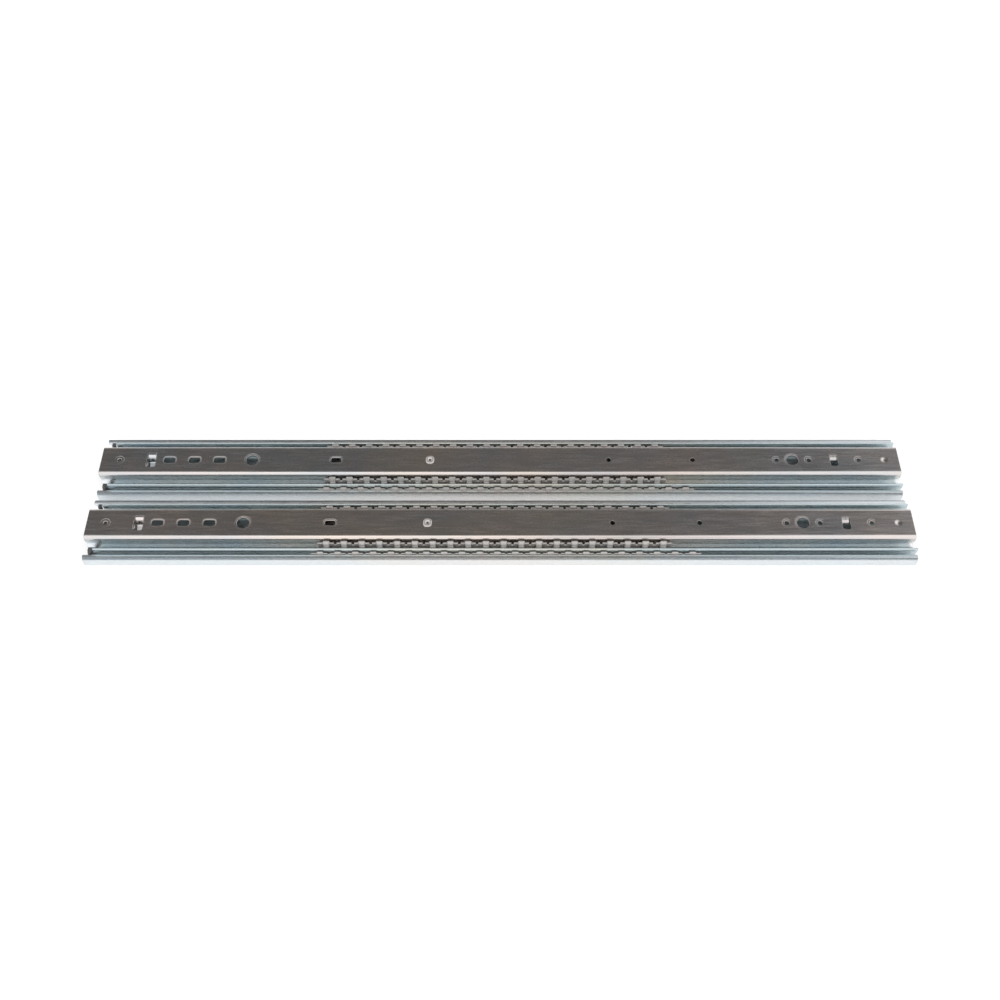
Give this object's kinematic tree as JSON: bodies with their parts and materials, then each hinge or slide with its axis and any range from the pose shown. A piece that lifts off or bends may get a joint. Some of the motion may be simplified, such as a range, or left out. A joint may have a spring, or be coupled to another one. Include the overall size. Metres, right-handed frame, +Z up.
{
  "type": "server rail pair",
  "caption": "Pair of three-section full-extension ball-bearing server rails in zinc-plated steel, closed, side by side.",
  "frame": {"origin": "on the floor under the middle of the closed pair", "axes": "+X along the rails towards the end they extend to, +Y from the near slide to the far one, +Z up, away from the outer webs that lie on the floor"},
  "size_m": [0.6096, 0.1108, 0.0198],
  "materials": {
    "outer_zinc": "bright zinc plate",
    "middle_zinc": "bright zinc plate",
    "inner_zinc": "bright zinc plate",
    "cage_steel": "zinc-plated strip",
    "ball_steel": "polished",
    "rivet_steel": "bright zinc plate",
    "bumper_rubber": "matt"
  },
  "bodies": {
    "outer_members": {"near_outer_member": "outer_zinc", "near_rear_bumper": "bumper_rubber", "far_outer_member": "outer_zinc", "far_rear_bumper": "bumper_rubber"},
    "near_middle": {"near_middle_member": "middle_zinc", "near_closing_stop": "rivet_steel"},
    "near_inner": {"near_inner_member": "inner_zinc", "near_web_rivet": "rivet_steel"},
    "near_outer_ball_cage": {"near_outer_cage": "cage_steel", "near_outer_balls": "ball_steel"},
    "near_inner_ball_cage": {"near_inner_cage": "cage_steel", "near_inner_balls": "ball_steel"},
    "far_middle": {"far_middle_member": "middle_zinc", "far_closing_stop": "rivet_steel"},
    "far_inner": {"far_inner_member": "inner_zinc", "far_web_rivet": "rivet_steel"},
    "far_outer_ball_cage": {"far_outer_cage": "cage_steel", "far_outer_balls": "ball_steel"},
    "far_inner_ball_cage": {"far_inner_cage": "cage_steel", "far_inner_balls": "ball_steel"}
  },
  "joints": [
    {"name": "near_middle_slide", "type": "slide", "parent": "outer_members", "child": "near_middle", "axis": [1, 0, 0], "range_m": [0, 0.3048]},
    {"name": "near_inner_slide", "type": "slide", "parent": "near_middle", "child": "near_inner", "axis": [1, 0, 0], "range_m": [0, 0.3048]},
    {"name": "near_outer_cage_slide", "type": "slide", "parent": "outer_members", "child": "near_outer_ball_cage", "axis": [1, 0, 0], "range_m": [0, 0.1524]},
    {"name": "near_inner_cage_slide", "type": "slide", "parent": "near_middle", "child": "near_inner_ball_cage", "axis": [1, 0, 0], "range_m": [0, 0.1524]},
    {"name": "far_middle_slide", "type": "slide", "parent": "outer_members", "child": "far_middle", "axis": [1, 0, 0], "range_m": [0, 0.3048]},
    {"name": "far_inner_slide", "type": "slide", "parent": "far_middle", "child": "far_inner", "axis": [1, 0, 0], "range_m": [0, 0.3048]},
    {"name": "far_outer_cage_slide", "type": "slide", "parent": "outer_members", "child": "far_outer_ball_cage", "axis": [1, 0, 0], "range_m": [0, 0.1524]},
    {"name": "far_inner_cage_slide", "type": "slide", "parent": "far_middle", "child": "far_inner_ball_cage", "axis": [1, 0, 0], "range_m": [0, 0.1524]}
  ],
  "couplings": [
    {"joint": "near_outer_cage_slide", "follows": "near_middle_slide", "ratio": 0.5},
    {"joint": "near_inner_cage_slide", "follows": "near_inner_slide", "ratio": 0.5},
    {"joint": "far_outer_cage_slide", "follows": "far_middle_slide", "ratio": 0.5},
    {"joint": "far_inner_cage_slide", "follows": "far_inner_slide", "ratio": 0.5}
  ]
}
